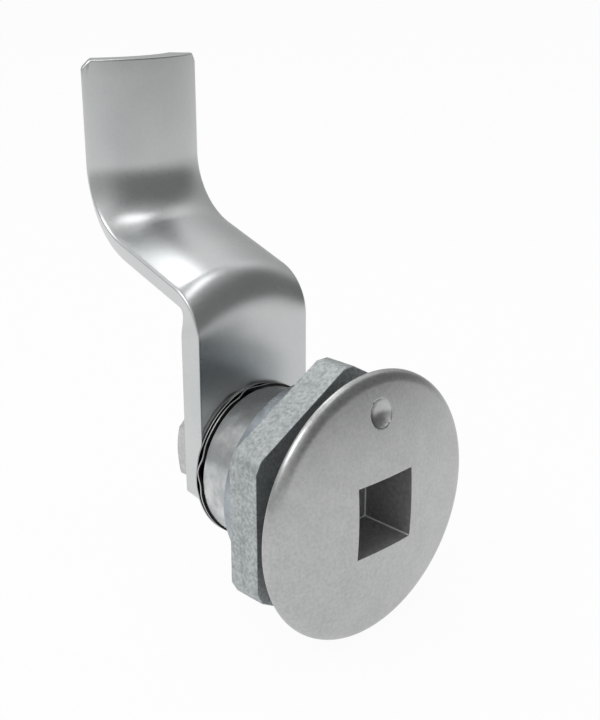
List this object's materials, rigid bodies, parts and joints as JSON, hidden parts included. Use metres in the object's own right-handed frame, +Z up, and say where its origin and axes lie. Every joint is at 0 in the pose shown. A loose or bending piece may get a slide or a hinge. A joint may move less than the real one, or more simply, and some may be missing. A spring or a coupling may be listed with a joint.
{
  "type": "quarter-turn cam latch",
  "caption": "Quarter-turn cam latch with a domed square-socket head, hexagon mounting nut and a cranked cam with a rolled tip.",
  "frame": {"origin": "on the latch's axis, in the plane where the flange's gasket meets the door's front face", "axes": "+Z up and along the cam at rest, +Y along the axis into the door, +X to the right as seen from the front"},
  "size_m": [0.0296, 0.0414, 0.0584],
  "materials": {
    "satin_nickel": "satin nickel plate over a zinc casting",
    "zinc_sleeve": "glossy plate over a zinc casting",
    "zinc_nut": "speckled satin plate",
    "plated_steel": "bright zinc plate on rolled steel",
    "spring_steel": "oiled spring steel",
    "bolt_steel": "zinc plated",
    "pin_steel": "ground",
    "gasket_rubber": "matt black",
    "seal_rubber": "matt black",
    "slip_plastic": "smooth"
  },
  "bodies": {
    "housing": {"housing": "zinc_sleeve", "panel_gasket": "gasket_rubber", "thrust_washer": "slip_plastic", "mounting_nut": "zinc_nut"},
    "rotor": {"actuator": "satin_nickel", "shaft_seal_front": "seal_rubber", "shaft_seal_rear": "seal_rubber", "stop_pin": "pin_steel", "wave_washer_front": "spring_steel", "wave_washer_rear": "spring_steel", "cam": "plated_steel", "lock_washer": "bolt_steel", "cam_bolt": "bolt_steel"}
  },
  "joints": [
    {"name": "quarter_turn", "type": "hinge", "parent": "housing", "child": "rotor", "pos_m": [0, 0, 0], "axis": [0, 1, 0], "range_deg": [0, 90]}
  ]
}
